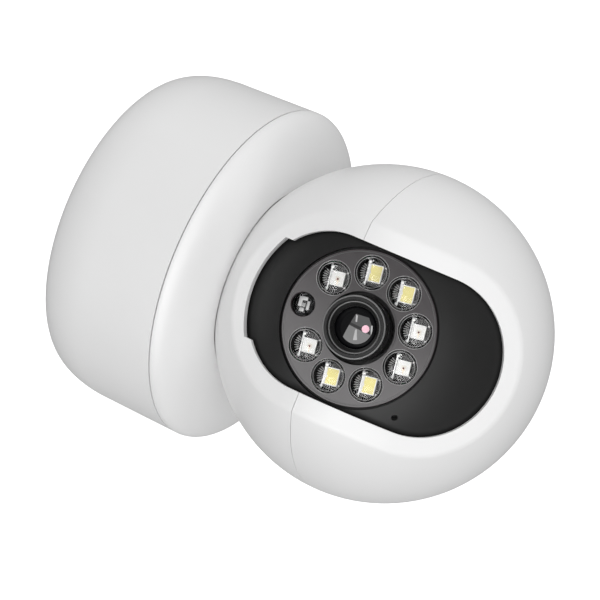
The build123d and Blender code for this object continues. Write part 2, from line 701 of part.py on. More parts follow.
def lamp_dome():
    """One clear lamp cover: a flange, a barrel and a low dome, hollow over the chip."""
    seat_z = PLATE_Z - PLATE_T
    barrel_r = LED_HOLE_R - 0.05
    flange = disc(FLANGE_R, BOARD_TOP_Z, seat_z)
    flange &= block(-FLANGE_R, FLANGE_R, -FLANGE_R, FLANGE_R, 0, 40)
    rise = 0.75
    dome_r = (barrel_r ** 2 + rise ** 2) / (2 * rise)
    centre = Pos(0, 0, PLATE_Z + rise - dome_r)
    dome = (centre * Sphere(dome_r)) & disc(barrel_r, BOARD_TOP_Z, 40)
    inside = (centre * Sphere(dome_r - 0.7)) & disc(barrel_r - 0.3, BOARD_TOP_Z - 1, 40)
    return flange + dome - inside


def lamp_domes():
    """Eight separate lamp covers."""
    return Compound([in_drum(Pos(*around(angle), 0) * lamp_dome()) for angle in IR_ANGLES + WHITE_ANGLES])


def lamp(length, width):
    """One surface-mount lamp: a body with a shallow well for its die, and the metal strip it is on."""
    low, top, rim = BOARD_TOP_Z, BOARD_TOP_Z + 0.8, 0.3
    half, near, far = length / 2, LAMP_Y - width / 2, LAMP_Y + width / 2
    body = block(-half, half, near, far, low, top)
    body -= block(rim - half, half - rim, near + rim, far - rim, top - 0.2, top + 1)
    return body + block(-2.4, 2.4, -1.5, near + 0.1, low, low + 0.4)


def lamps(angles, length, width):
    return Compound([in_drum(Pos(*around(angle), 0) * lamp(length, width)) for angle in angles])


def light_sensor():
    """A small clear sensor with a domed top, in the plate's ninth window."""
    stem = disc(SENSOR_HOLE_R - 0.15, BOARD_TOP_Z, PLATE_Z - 0.3)
    stem = fillet(stem.edges().group_by(Axis.Z)[-1], 0.8)
    return in_drum(Pos(0, -SENSOR_RING_R, 0) * stem)


def led_board():
    return in_drum(ring(13.2, 7.6, BOARD_TOP_Z - 1.0, BOARD_TOP_Z))


def lens_barrel():
    """The lens barrel: a knurled head with stepped rings in front, and a threaded tube behind."""
    front = LENS_FRONT_Z
    outline = [
        Line((4.9, 14.6), (5.9, 14.6)),
        Line((5.9, 14.6), (5.9, 26.6)),
        Line((5.9, 26.6), (LENS_R + 0.25, 26.6)),
        Line((LENS_R + 0.25, 26.6), (LENS_R + 0.25, 28.6)),
        Line((LENS_R + 0.25, 28.6), (LENS_R, 28.9)),
        Line((LENS_R, 28.9), (LENS_R, front - 0.4)),
        Line((LENS_R, front - 0.4), (LENS_R - 0.4, front)),
        Line((LENS_R - 0.4, front), (5.3, front)),
        Line((5.3, front), (5.1, front - 0.7)),
        Line((5.1, front - 0.7), (4.75, front - 0.7)),
        Line((4.75, front - 0.7), (4.15, front - 1.7)),
        Line((4.15, front - 1.7), (4.15, front - 2.4)),
        Line((4.15, front - 2.4), (4.9, front - 2.4)),
        Line((4.9, front - 2.4), (4.9, 14.6)),
    ]
    return in_drum(spin(outline))


def lens_glass():
    """The lens elements, one behind the other in the barrel."""
    front_r = 6.6
    face = LENS_FRONT_Z - 1.1
    front = (Pos(0, 0, face - front_r) * Sphere(front_r)) & disc(4.1, LENS_FRONT_Z - 3.6, 40)
    seat = disc(4.85, LENS_FRONT_Z - 3.9, LENS_FRONT_Z - 2.45)
    middle = disc(4.85, 22.0, 24.0)
    last = (Pos(0, 0, 16.0 + 7.0) * Sphere(7.0)) & disc(4.85, 15.0, 19.0)
    return Compound([in_drum(front + seat), in_drum(middle), in_drum(last)])


def lens_holder():
    """The block on the sensor board that the barrel screws into, with room for the filter."""
    body = block(-8.5, 8.5, -7.0, 7.0, 10.0, 16.5) + disc(7.4, 16.4, 22.4)
    body -= block(-7.3, 7.3, -5.0, 5.0, 9.0, 14.0)
    return in_drum(body - disc(5.95, 13.0, 30.0))


def ir_cut_filter():
    """A thin plate that slides across the image sensor by day and off it by night."""
    return in_drum(block(-7.0, 2.8, -4.6, 4.6, 12.2, 12.9))


def sensor_board():
    board = block(-12.0, 12.0, -13.0, 13.0, 9.0, 10.0)
    return in_drum(fillet(board.edges().filter_by(Axis.Z), 1.5))


def image_sensor():
    return in_drum(block(-3.6, 3.6, -3.0, 3.0, 10.0, 10.9))


def microphone():
    return in_drum(mic_rod(2.0, MIC_FRONT - 1.8, MIC_FRONT))


def tilt_motor_ears():
    return [(12.4, -5.0), (-12.4, -5.0)]


def tilt_motor():
    """A small geared stepper motor in the drum, with a hollow boss for the shaft."""
    can = rod_x(9.8, -14.4, -2.4, 0, -5.0)
    can = fillet(can.edges().filter_by(GeomType.CIRCLE), 0.6)
    ears = Pos(-14.9, 0, -5.0) * Rot(0, 90, 0) * motor_ear_plate()
    motor = can + ears + rod_x(9.4, -15.3, -14.3, 0, -5.0) + rod_x(4.0, -16.7, -15.0)
    motor -= rod_x(SHAFT_R + FIT, -20, -8.6)
    for y, z in tilt_motor_ears():
        motor -= rod_x(1.0, -16, -14, y, z)
    return in_drum(motor)


def tilt_motor_screws():
    screw = Rot(0, -90, 0) * pan_screw(1.8, 0.9, 0.7, 1.7)
    return Compound([in_drum(Pos(-14.5, y, z) * screw) for y, z in tilt_motor_ears()])


def drum_harness():
    """The wires from the hollow end of the tilt axis to a plug on the sensor board."""
    bend = TangentArc((13.5, 0), (9.0, 4.5), tangent=(-1, 0))
    path = Plane.XZ * (Line((20.8, 0), (13.5, 0)) + bend + Line((9.0, 4.5), (9.0, 7.2)))
    bundle = sweep(Plane(origin=(20.8, 0, 0), z_dir=(-1, 0, 0)) * Circle(1.2), path=path)
    return in_drum(bundle + block(6.2, 11.4, -3.0, 3.0, 7.0, 9.0))


PARTS = {
    "base_cup": base_cup,
    "base_front_cover": base_front_cover,
    "cover_screws": cover_screws,
    "pan_bush": pan_bush,
    "pan_motor": pan_motor,
    "pan_motor_screws": pan_motor_screws,
    "pan_pinion": pan_pinion,
    "main_board": main_board,
    "board_screws": board_screws,
    "board_components": board_components,
    "usb_c_inlet": usb_c_inlet,
    "card_socket": card_socket,
    "reset_button": reset_button,
    "reset_switch": reset_switch,
    "speaker": speaker,
    "pan_cable": pan_cable,
    "wall_plate": wall_plate,
    "rubber_foot_ring": rubber_foot_ring,
    "head_lower_shell": head_lower_shell,
    "head_upper_shell": head_upper_shell,
    "shell_screws": shell_screws,
    "neck_hub": neck_hub,
    "hub_flange_screws": hub_flange_screws,
    "pan_ring_gear": pan_ring_gear,
    "hub_retaining_ring": hub_retaining_ring,
    "hub_screws": hub_screws,
    "tilt_bracket_right": lambda: tilt_bracket(1),
    "tilt_bracket_left": lambda: tilt_bracket(-1),
    "tilt_bush": tilt_bush,
    "tilt_shaft": tilt_shaft,
    "bracket_screws": bracket_screws,
    "head_flex": head_flex,
    "drum_front_shell": drum_front_shell,
    "drum_rear_cover": drum_rear_cover,
    "drum_screws": drum_screws,
    "face_plate": face_plate,
    "lamp_domes": lamp_domes,
    "white_lamps": lambda: lamps(WHITE_ANGLES, 3.3, 2.1),
    "infrared_lamps": lambda: lamps(IR_ANGLES, 2.8, 2.6),
    "light_sensor": light_sensor,
    "led_board": led_board,
    "lens_barrel": lens_barrel,
    "lens_glass": lens_glass,
    "lens_holder": lens_holder,
    "ir_cut_filter": ir_cut_filter,
    "sensor_board": sensor_board,
    "image_sensor": image_sensor,
    "microphone": microphone,
    "tilt_motor": tilt_motor,
    "tilt_motor_screws": tilt_motor_screws,
    "drum_harness": drum_harness,
}

os.makedirs("parts", exist_ok=True)
for name, make in PARTS.items():
    export_step(make(), f"parts/{name}.step")
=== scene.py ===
"""The looks of a pan and tilt security camera: materials, lamp and lens detail, floor, light and camera."""
import json
import math

import bmesh
import bpy
from mathutils import Matrix, Vector

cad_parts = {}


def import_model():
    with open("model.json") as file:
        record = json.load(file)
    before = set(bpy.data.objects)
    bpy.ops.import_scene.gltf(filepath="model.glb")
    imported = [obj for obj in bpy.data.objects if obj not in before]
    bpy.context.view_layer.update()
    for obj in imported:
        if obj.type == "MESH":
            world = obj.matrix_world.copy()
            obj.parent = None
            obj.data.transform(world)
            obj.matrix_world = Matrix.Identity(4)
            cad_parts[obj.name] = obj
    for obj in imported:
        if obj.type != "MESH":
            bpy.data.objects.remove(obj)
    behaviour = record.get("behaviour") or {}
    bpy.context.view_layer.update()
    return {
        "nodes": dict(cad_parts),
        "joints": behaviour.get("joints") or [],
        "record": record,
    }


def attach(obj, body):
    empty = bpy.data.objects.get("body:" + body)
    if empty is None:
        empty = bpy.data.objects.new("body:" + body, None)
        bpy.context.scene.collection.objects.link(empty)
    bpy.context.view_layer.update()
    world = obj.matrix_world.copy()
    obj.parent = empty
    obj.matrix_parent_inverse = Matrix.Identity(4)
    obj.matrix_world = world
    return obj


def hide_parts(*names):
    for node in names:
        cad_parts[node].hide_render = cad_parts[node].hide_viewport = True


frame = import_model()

nodes = frame["nodes"]
joints = {joint["name"]: joint for joint in frame["joints"]}

MM = 0.001
BALL_CENTRE = Vector(joints["tilt"]["pos_m"])
REST_TILT = math.radians(78.3)

# The drum's own frame: its origin is the middle of the ball and its Z is the optical axis.
DRUM_FRAME = Matrix.Translation(BALL_CENTRE) @ Matrix.Rotation(REST_TILT, 4, "X")
DRUM_MM = DRUM_FRAME @ Matrix.Scale(MM, 4)

# Millimetres along the optical axis, from the middle of the ball.
PLATE_Z = 26.85
BOARD_Z = 24.2
LENS_FRONT_Z = 32.0
GLASS_FRONT_Z = LENS_FRONT_Z - 0.7

# Millimetres about the optical axis, or about the middle of a lamp's window.
GLASS_R = 6.6
GLASS_EDGE_R = 4.1
GLASS_SHELL = 0.5
GLASS_LIP = 0.25
# The pink dot on the front glass is a painted reflection: a pink cap on the glass where the lens shows the
# pink glint of its pupil.
PUPIL_R = 0.72
PUPIL_CROWN = 0.05
PUPIL_LEAN = (-0.532, 2.052, 6.25)  # from the middle of the glass's sphere to the pupil's spot on it
LED_RING_R = 10.9
LED_HOLE_R = 3.3
SENSOR_RING_R = 11.95
PLATE_RIM_R = 14.75
BAFFLE_SEAT_R = 4.85
AXIS_GAP = 0.02

# Degrees round the lens from the side away from the light sensor, for each lamp, and a lamp's own turn.
WHITE_ANGLES = (60, -60, 100, -100)
IR_ANGLES = (20, -20, 140, -140)
ALL_ANGLES = WHITE_ANGLES + IR_ANGLES
LAMP_TWIST = 9.0


# ---------------------------------------------------------------- materials

def new_material(name):
    """A material with an empty principled surface, and its node tree's shortcuts."""
    mat = bpy.data.materials.new(name)
    mat.use_nodes = True
    tree = mat.node_tree
    shader = tree.nodes["Principled BSDF"]
    return mat, tree, shader


def coordinates(tree, scale):
    """Object coordinates in metres, times a scale."""
    source = tree.nodes.new("ShaderNodeTexCoord")
    mapping = tree.nodes.new("ShaderNodeMapping")
    mapping.inputs["Scale"].default_value = scale if hasattr(scale, "__len__") else (scale,) * 3
    tree.links.new(source.outputs["Object"], mapping.inputs["Vector"])
    return mapping.outputs["Vector"]


def noise(tree, scale, detail=3.0):
    """Noise with about this many cells in a millimetre."""
    node = tree.nodes.new("ShaderNodeTexNoise")
    node.inputs["Scale"].default_value = 1.0
    node.inputs["Detail"].default_value = detail
    tree.links.new(coordinates(tree, scale / MM), node.inputs["Vector"])
    return node.outputs["Fac"]


def ramp(tree, value, low, high):
    """A colour between two, as a value goes through the middle of its reach."""
    node = tree.nodes.new("ShaderNodeValToRGB")
    node.color_ramp.elements[0].position = 0.3
    node.color_ramp.elements[0].color = (*low[:3], 1)
    node.color_ramp.elements[1].position = 0.7
    node.color_ramp.elements[1].color = (*high[:3], 1)
    tree.links.new(value, node.inputs["Fac"])
    return node.outputs["Color"]


def span(tree, value, low, high):
    """A number between two, as a value goes from 0 to 1."""
    node = tree.nodes.new("ShaderNodeMapRange")
    node.inputs["To Min"].default_value = low
    node.inputs["To Max"].default_value = high
    tree.links.new(value, node.inputs["Value"])
    return node.outputs["Result"]


def bump(tree, shader, height, strength, distance):
    """Raises a surface by a height, up to a distance in metres."""
    node = tree.nodes.new("ShaderNodeBump")
    node.inputs["Strength"].default_value = strength
    node.inputs["Distance"].default_value = distance
    tree.links.new(height, node.inputs["Height"])
    tree.links.new(node.outputs["Normal"], shader.inputs["Normal"])


def moulded(name, colour, rough, grain=6.0, depth=0.004, mottle=0.02, specular=0.5):
    """Moulded plastic: a slow unevenness in its colour and gloss, and a fine grain in its skin."""
    mat, tree, shader = new_material(name)
    slow = noise(tree, 0.06)
    darker = [c * (1 - mottle) for c in colour]
    lighter = [min(1.0, c * (1 + mottle)) for c in colour]
    gloss = span(tree, noise(tree, 0.5), rough - 0.05, rough + 0.05)
    tree.links.new(ramp(tree, slow, darker, lighter), shader.inputs["Base Color"])
    tree.links.new(gloss, shader.inputs["Roughness"])
    shader.inputs["Specular IOR Level"].default_value = specular
    bump(tree, shader, noise(tree, grain, 2.0), 0.6, depth * MM)
    return mat


def metal(name, colour, rough, grain=(1.0, 1.0, 30.0)):
    """Plated or drawn metal, with fine lines along one direction."""
    mat, tree, shader = new_material(name)
    node = tree.nodes.new("ShaderNodeTexNoise")
    node.inputs["Scale"].default_value = 1.0
    node.inputs["Detail"].default_value = 4.0
    tree.links.new(coordinates(tree, [g / MM for g in grain]), node.inputs["Vector"])
    lines = node.outputs["Fac"]
    darker = [c * 0.85 for c in colour]
    tree.links.new(ramp(tree, lines, darker, colour), shader.inputs["Base Color"])
    tree.links.new(span(tree, lines, rough - 0.08, rough + 0.1), shader.inputs["Roughness"])
    shader.inputs["Metallic"].default_value = 1.0
    bump(tree, shader, lines, 0.3, 0.003 * MM)
    return mat


def clear(name, tint, ior):
    """Clear moulded plastic or glass, a little uneven."""
    mat, tree, shader = new_material(name)
    darker = [c * 0.97 for c in tint]
    tree.links.new(ramp(tree, noise(tree, 0.4), darker, tint), shader.inputs["Base Color"])
    tree.links.new(span(tree, noise(tree, 1.5), 0.02, 0.05), shader.inputs["Roughness"])
    shader.inputs["Transmission Weight"].default_value = 1.0
    shader.inputs["IOR"].default_value = ior
    bump(tree, shader, noise(tree, 0.7, 1.0), 0.15, 0.01 * MM)
    return mat


def circuit(name, mask, track):
    """Solder mask over fine copper tracks."""
    mat, tree, shader = new_material(name)
    brick = tree.nodes.new("ShaderNodeTexBrick")
    brick.inputs["Scale"].default_value = 1.0
    brick.inputs["Color1"].default_value = (*mask, 1)
    brick.inputs["Color2"].default_value = (*[c * 0.8 for c in mask], 1)
    brick.inputs["Mortar"].default_value = (*track, 1)
    brick.inputs["Mortar Size"].default_value = 0.03
    tree.links.new(coordinates(tree, 0.9 / MM), brick.inputs["Vector"])
    tree.links.new(brick.outputs["Color"], shader.inputs["Base Color"])
    tree.links.new(span(tree, noise(tree, 2.0), 0.25, 0.4), shader.inputs["Roughness"])
    bump(tree, shader, brick.outputs["Fac"], 0.4, 0.02 * MM)
    return mat


WHITE = moulded("white_moulding", (0.80, 0.80, 0.80), 0.40, 5.0, 0.003, 0.008, 0.3)
PLATE_WHITE = moulded("wall_plate_moulding", (0.74, 0.74, 0.74), 0.45, 4.0, 0.006, 0.02)
BUTTON = moulded("button_moulding", (0.50, 0.51, 0.52), 0.42, 5.0, 0.004, 0.03)
RUBBER = moulded("foot_rubber", (0.035, 0.035, 0.037), 0.7, 3.0, 0.02, 0.15)
DRUM_BLACK = moulded("drum_moulding", (0.0165, 0.0165, 0.0165), 0.45, 7.0, 0.006, 0.08, 0.2)
FACE_BLACK = moulded("face_plate_moulding", (0.026, 0.021, 0.023), 0.16, 3.0, 0.002, 0.05, 0.6)
LENS_BLACK = moulded("lens_barrel_anodising", (0.010, 0.010, 0.010), 0.28, 6.0, 0.003, 0.1, 0.16)
HOLDER_BLACK = moulded("inner_black_moulding", (0.03, 0.03, 0.03), 0.5, 4.0, 0.01, 0.1)
INNER_GREY = moulded("inner_grey_moulding", (0.10, 0.10, 0.105), 0.5, 4.0, 0.01, 0.1)
ACETAL = moulded("gear_moulding", (0.72, 0.71, 0.66), 0.35, 4.0, 0.005, 0.03)
PACKAGE_WHITE = moulded("lamp_package", (0.59, 0.59, 0.58), 0.4, 8.0, 0.003, 0.02)
CHIP_BLACK = moulded("chip_moulding", (0.03, 0.03, 0.032), 0.55, 8.0, 0.01, 0.15)
WIRE = moulded("wire_tape", (0.04, 0.04, 0.045), 0.6, 2.0, 0.03, 0.2)
FLEX = moulded("flex_film", (0.42, 0.20, 0.04), 0.3, 2.0, 0.004, 0.15)
STEEL = metal("plated_steel", (0.60, 0.60, 0.61), 0.3)
MOTOR_STEEL = metal("motor_can", (0.55, 0.55, 0.54), 0.34, (20.0, 1.0, 1.0))
SCREW_STEEL = metal("screw_plating", (0.45, 0.45, 0.46), 0.36, (6.0, 6.0, 6.0))
SHAFT_STEEL = metal("ground_shaft", (0.62, 0.62, 0.63), 0.22, (30.0, 2.0, 2.0))
SILVER = metal("silver_plating", (0.52, 0.52, 0.52), 0.36, (3.0, 3.0, 3.0))
DULL_SILVER = metal("worn_silver", (0.27, 0.27, 0.27), 0.5, (3.0, 3.0, 3.0))
GOLD = metal("gold_plating", (0.80, 0.55, 0.20), 0.28, (6.0, 6.0, 6.0))
DOME = clear("clear_dome", (0.98, 0.98, 0.98), 1.2)
SENSOR_CLEAR = clear("sensor_dome", (0.80, 0.80, 0.82), 1.2)
GLASS = moulded("lens_glass", (0.003, 0.003, 0.004), 0.03, 2.0, 0.0001, 0.1, 0.75)
FILTER = clear("filter_glass", (0.55, 0.80, 0.85), 1.5)
GREEN_BOARD = circuit("green_board", (0.015, 0.12, 0.05), (0.05, 0.22, 0.09))
BLACK_BOARD = circuit("black_board", (0.012, 0.012, 0.012), (0.03, 0.03, 0.03))
PHOSPHOR = moulded("phosphor", (0.57, 0.505, 0.185), 0.35, 12.0, 0.01, 0.06)

WELL_BLACK = moulded("lamp_well", (0.010, 0.010, 0.010), 0.2, 4.0, 0.003, 0.1)
RIB_GREY = moulded("lamp_rib", (0.26, 0.26, 0.26), 0.3, 6.0, 0.003, 0.15)
# Light grey for clear edges that would catch the light: a painted highlight, not the edges' own colour.
EDGE_HIGHLIGHT_GREY = moulded("painted_edge_highlight", (0.33, 0.33, 0.33), 0.15, 6.0, 0.003, 0.1)
# A grey lighter than the black parts, for fine rings whose light lines are painted highlights of their
# edges.
RING_HIGHLIGHT_GREY = moulded("lens_ring_painted_highlight", (0.085, 0.085, 0.085), 0.25, 6.0, 0.002, 0.1)
BAFFLE_BLACK = moulded("lens_baffle", (0.004, 0.004, 0.004), 0.6, 6.0, 0.004, 0.1, 0.0)
OUTLINE_GREY = moulded("die_outline", (0.55, 0.52, 0.46), 0.4, 10.0, 0.003, 0.1)
DIE = moulded("lamp_die", (0.10, 0.02, 0.02), 0.25, 10.0, 0.002, 0.1)
# Bright pink for a dot on the glass: a painted reflection of the lens's pupil, not a coating.
PUPIL_REFLECTION = moulded("lens_pupil_painted_reflection", (0.95, 0.55, 0.66), 0.2, 4.0, 0.002, 0.05)

FINISHES = {
    "white_shell": WHITE,
    "white_plate": PLATE_WHITE,
    "button_plastic": BUTTON,
    "foot_rubber": RUBBER,
    "drum_plastic": DRUM_BLACK,
    "face_plastic": FACE_BLACK,
    "lens_black": LENS_BLACK,
    "holder_plastic": HOLDER_BLACK,
    "clear_dome": DOME,
    "sensor_dome": SENSOR_CLEAR,
    "lens_glass": GLASS,
    "filter_glass": FILTER,
    "white_phosphor": PHOSPHOR,
    "infrared_lamp": PACKAGE_WHITE,
    "circuit_board": GREEN_BOARD,
    "lamp_board": BLACK_BOARD,
    "components": CHIP_BLACK,
    "steel": STEEL,
    "motor_can": MOTOR_STEEL,
    "gear_plastic": ACETAL,
    "inner_plastic": INNER_GREY,
    "steel_shaft": SHAFT_STEEL,
    "screw_steel": SCREW_STEEL,
    "speaker_frame": CHIP_BLACK,
    "wire": WIRE,
    "flex_film": FLEX,
}


def paint(obj, mat):
    """Gives an object one material."""
    obj.data.materials.clear()
    obj.data.materials.append(mat)


for part in frame["record"]["subparts"]:
    paint(nodes[part["node"]], FINISHES[part["material_slot"]])


# ---------------------------------------------------------------- mesh helpers

def finish_mesh(name, mesh, mat, body, sharp=35):
    """Makes a piece from a bmesh drawn in millimetres in the row frame, and rides it on a body."""
    bmesh.ops.recalc_face_normals(mesh, faces=mesh.faces)
    data = bpy.data.meshes.new(name)
    mesh.to_mesh(data)
    mesh.free()
    data.shade_smooth()
    data.set_sharp_from_angle(angle=math.radians(sharp))
    piece = bpy.data.objects.new(name, data)
    bpy.context.scene.collection.objects.link(piece)
    paint(piece, mat)
    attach(piece, body)
    return piece


def lathe(mesh, profile, place, segments=72):
    """Adds a ring-shaped solid: a closed outline of (radius, height) turned about the place's Z."""
    rings = []
    for k in range(segments):
        turn = 2 * math.pi * k / segments
        c, s = math.cos(turn), math.sin(turn)
        rings.append([mesh.verts.new(place @ Vector((r * c, r * s, z))) for r, z in profile])
    count = len(profile)
    for k in range(segments):
        here, there = rings[k], rings[(k + 1) % segments]
        for i in range(count):
            j = (i + 1) % count
            mesh.faces.new((here[i], there[i], there[j], here[j]))


def slab(mesh, size, centre, place, bevel=0.05):
    """Adds a box with bevelled edges."""
    box = bmesh.new()
    bmesh.ops.create_cube(box, size=1.0)
    bmesh.ops.scale(box, vec=size, verts=box.verts)
    bmesh.ops.bevel(box, geom=box.edges[:], offset=bevel, segments=2, affect="EDGES", profile=0.6)
    bmesh.ops.translate(box, vec=centre, verts=box.verts)
    bmesh.ops.transform(box, matrix=place, verts=box.verts)
    shape = bpy.data.meshes.new("slab")
    box.to_mesh(shape)
    box.free()
    mesh.from_mesh(shape)
    bpy.data.meshes.remove(shape)


def button_cap(mesh, radius, crown, place):
    """Adds a thin closed button, its rim at the place's origin and its top crowned above that."""
    rings, foot = 5, -0.12
    top = [(radius * (1 - k / rings), crown * (1 - (1 - k / rings) ** 2)) for k in range(rings)]
    lathe(mesh, [(radius, foot)] + top + [(AXIS_GAP, crown), (AXIS_GAP, foot)], place, 40)


def on_drum(x=0.0, y=0.0):
    """Millimetres on the optical axis, or beside it, to metres in the row frame."""
    return DRUM_MM @ Matrix.Translation((x, y, 0))


def lamp_place(angle):
    """The middle of a lamp's window, turned as its chip is: X along the strip, Y across it."""
    turn = math.radians(angle)
    x, y = LED_RING_R * math.sin(turn), LED_RING_R * math.cos(turn)
    return on_drum(x, y) @ Matrix.Rotation(math.radians(LAMP_TWIST), 4, "Z")


# ---------------------------------------------------------------- lamps

RIB_STEP = 11.0

# The strip and the pads and crimps on it: size, place across the window, rise above the strip, bevel.
STRIP_BITS = (
    ((5.3, 0.26, 0.24), (0, -1.22), 0, 0.07),
    ((0.62, 0.70, 0.34), (-2.10, -1.10), 0.05, 0.14),
    ((0.50, 0.44, 0.30), (-1.45, -1.18), 0.04, 0.10),
    ((0.46, 0.60, 0.34), (2.15, -1.32), 0.05, 0.12),
    ((0.22, 0.46, 0.34), (-0.70, -1.20), 0.06, 0.07),
    ((0.18, 0.40, 0.30), (0.15, -1.20), 0.06, 0.06),
    ((0.26, 0.44, 0.30), (0.95, -1.24), 0.06, 0.08),
    ((0.22, 0.20, 0.16), (-2.35, -0.62), 0.02, 0.05),
)

# A lamp body's length along the strip, and its two sides across it.
WHITE_BODY = (3.4, -1.02, 1.72)
IR_BODY = (2.8, -0.95, 1.72)
BODY_RIM = 0.22

# The light sensor's leads: size, place beside the middle of its top, rise.
SENSOR_LEADS = (
    ((1.9, 0.75, 0.10), (-0.45, -0.60), 0),
    ((0.75, 0.95, 0.12), (1.05, -0.05), 0),
    ((0.70, 1.2, 0.10), (-1.15, 0.15), 0.02),
    ((1.7, 0.60, 0.10), (0.05, 1.00), 0),
)


def lamp_wells():
    """The black cup round each lamp, with a fan of thin ribs at its darker side."""
    mesh = bmesh.new()
    top, low = PLATE_Z - 1.0, BOARD_Z + 0.05
    outline = [(2.94, top), (2.82, top - 0.3), (2.76, low + 0.3), (2.55, low), (2.94, low)]
    for angle in ALL_ANGLES:
        lathe(mesh, outline, lamp_place(angle), 48)
    finish_mesh("lamp_wells", mesh, WELL_BLACK, "camera")
    ribs = bmesh.new()
    for angle in ALL_ANGLES:
        for k in range(-3, 4):
            lean = lamp_place(angle) @ Matrix.Rotation(math.radians(-RIB_STEP * k), 4, "Z")
            slab(ribs, (0.13, 0.85, 0.5), (0, -2.12, BOARD_Z + 0.75), lean, 0.03)
    finish_mesh("lamp_ribs", ribs, RIB_GREY, "camera")


def lamp_strips():
    """The bright metal strip that each chip is soldered to, crimped and wider at its ends."""
    mesh = bmesh.new()
    z = BOARD_Z + 0.62
    for angle in ALL_ANGLES:
        place = lamp_place(angle)
        for size, (x, y), rise, bevel in STRIP_BITS:
            slab(mesh, size, (x, y, z + rise), place, bevel)
        for x in (-1.45, 1.45):
            slab(mesh, (0.30, 0.42, 0.12), (x, 1.98, BOARD_Z + 0.30), place, 0.04)
    finish_mesh("lamp_strips", mesh, SILVER, "camera")


def package(mesh, place, length, near, far):
    """A white lamp body between two sides, with a raised frame round its well."""
    z = BOARD_Z + 0.5
    width, middle, rim = far - near, (near + far) / 2, BODY_RIM
    slab(mesh, (length, width, 0.75), (0, middle, z), place, 0.07)
    for side in (-1, 1):
        long_side = (0, middle + side * (width - rim) / 2, z + 0.42)
        short_side = (side * (length - rim) / 2, middle, z + 0.42)
        slab(mesh, (length, rim, 0.16), long_side, place, 0.05)
        slab(mesh, (rim, width - 2 * rim, 0.16), short_side, place, 0.05)


def lamp_packages():
    """The white body of each lamp: oblong for the white lamps and nearly square for the infrared ones."""
    mesh = bmesh.new()
    for angle in WHITE_ANGLES:
        package(mesh, lamp_place(angle), *WHITE_BODY)
    for angle in IR_ANGLES:
        package(mesh, lamp_place(angle), *IR_BODY)
    piece = finish_mesh("lamp_packages", mesh, PACKAGE_WHITE, "camera")
    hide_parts("white_lamps", "infrared_lamps")


def lamp_dies():
    """Yellow phosphor in the white lamps; a small outlined die and its wire in the infrared ones."""
    phosphor, die, outline, wire = (bmesh.new() for _ in range(4))
    z = BOARD_Z + 0.92
    for angle in WHITE_ANGLES:
        place = lamp_place(angle)
        slab(phosphor, (3.1, 2.25, 0.14), (0, 0.44, z), place, 0.06)
        for x, y in ((-0.85, 0.95), (0.75, 0.75), (0.1, 0.25)):
            slab(outline, (0.09, 0.09, 0.04), (x, y, z + 0.07), place, 0.01)
    for angle in IR_ANGLES:
        place = lamp_place(angle)
        slab(outline, (1.0, 0.94, 0.06), (0.05, 0.45, z - 0.02), place, 0.02)
        slab(die, (0.34, 0.34, 0.14), (0.05, 0.45, z + 0.04), place, 0.03)
        slab(wire, (0.95, 0.05, 0.05), (0.62, 0.52, z + 0.08), place, 0.01)
        for x in (-0.75, 0.75):
            for y in (-0.35, 1.2):
                slab(outline, (0.16, 0.10, 0.04), (x, y, z - 0.01), place, 0.01)
    finish_mesh("lamp_phosphor", phosphor, PHOSPHOR, "camera")
    finish_mesh("lamp_die_outlines", outline, OUTLINE_GREY, "camera")
    finish_mesh("lamp_dies", die, DIE, "camera")
    finish_mesh("lamp_bond_wires", wire, GOLD, "camera")


def window_rims():
    """Two fine rings at each window, its own edge and the dome's foot, whose light grey is a painted
    highlight of the light these clear edges catch.
    """
    mesh = bmesh.new()
    edge = (LED_HOLE_R + 0.10, PLATE_Z - 0.02, 0.06)
    foot = (LED_HOLE_R - 0.36, PLATE_Z + 0.12, 0.05)
    turns = (0.3, 1.3, 2.3, 3.6, 5.0)
    for radius, height, thick in (edge, foot):
        outline = [(radius + thick * math.cos(a), height + thick * math.sin(a)) for a in turns]
        for angle in ALL_ANGLES:
            lathe(mesh, outline, lamp_place(angle), 64)
    finish_mesh("window_rims", mesh, EDGE_HIGHLIGHT_GREY, "camera")


def sensor_inside():
    """Flat bent leads and a small chip under the light sensor's clear top."""
    leads, chip = bmesh.new(), bmesh.new()
    place = on_drum(0, -SENSOR_RING_R) @ Matrix.Rotation(math.radians(LAMP_TWIST), 4, "Z")
    z = PLATE_Z - 0.22
    for size, (x, y), rise in SENSOR_LEADS:
        slab(leads, size, (x, y, z + rise), place, 0.05)
    slab(chip, (0.75, 0.70, 0.10), (0.1, 0.15, z + 0.03), place, 0.04)
    finish_mesh("sensor_leads", leads, DULL_SILVER, "camera")
    finish_mesh("sensor_chip", chip, RIB_GREY, "camera")


# ---------------------------------------------------------------- lens

def ring_piece(name, rings, mat, segments=120):
    """Fine raised rings about the optical axis: radius, height, half width, half thickness."""
    mesh = bmesh.new()
    turns = [k * math.pi / 4 + math.pi / 8 for k in range(8)]
    for radius, height, wide, thick in rings:
        outline = [(radius + wide * math.cos(a), height + thick * math.sin(a)) for a in turns]
        lathe(mesh, outline, on_drum(), segments)
    finish_mesh(name, mesh, mat, "camera")


def lens_front_glass():
    """The front element: a thin curved shell of dark coated glass."""
    mesh = bmesh.new()
    centre, steps = GLASS_FRONT_Z - GLASS_R, 24

    def arc(radius, edge):
        reach = [AXIS_GAP + (edge - AXIS_GAP) * k / steps for k in range(steps + 1)]
        return [(r, centre + math.sqrt(radius ** 2 - r ** 2)) for r in reach]

    outline = arc(GLASS_R, GLASS_EDGE_R) + arc(GLASS_R - GLASS_SHELL, GLASS_EDGE_R - GLASS_LIP)[::-1]
    lathe(mesh, outline, on_drum(), 120)
    piece = finish_mesh("lens_front_glass", mesh, GLASS, "camera", 20)
    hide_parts("lens_glass")


def plate_rim():
    """The fine raised line just inside the edge of the face plate, its grey a painted highlight of the
    plate's edge.
    """
    ring_piece("face_plate_rim", [(PLATE_RIM_R, PLATE_Z - 0.02, 0.07, 0.06)], RING_HIGHLIGHT_GREY, 160)


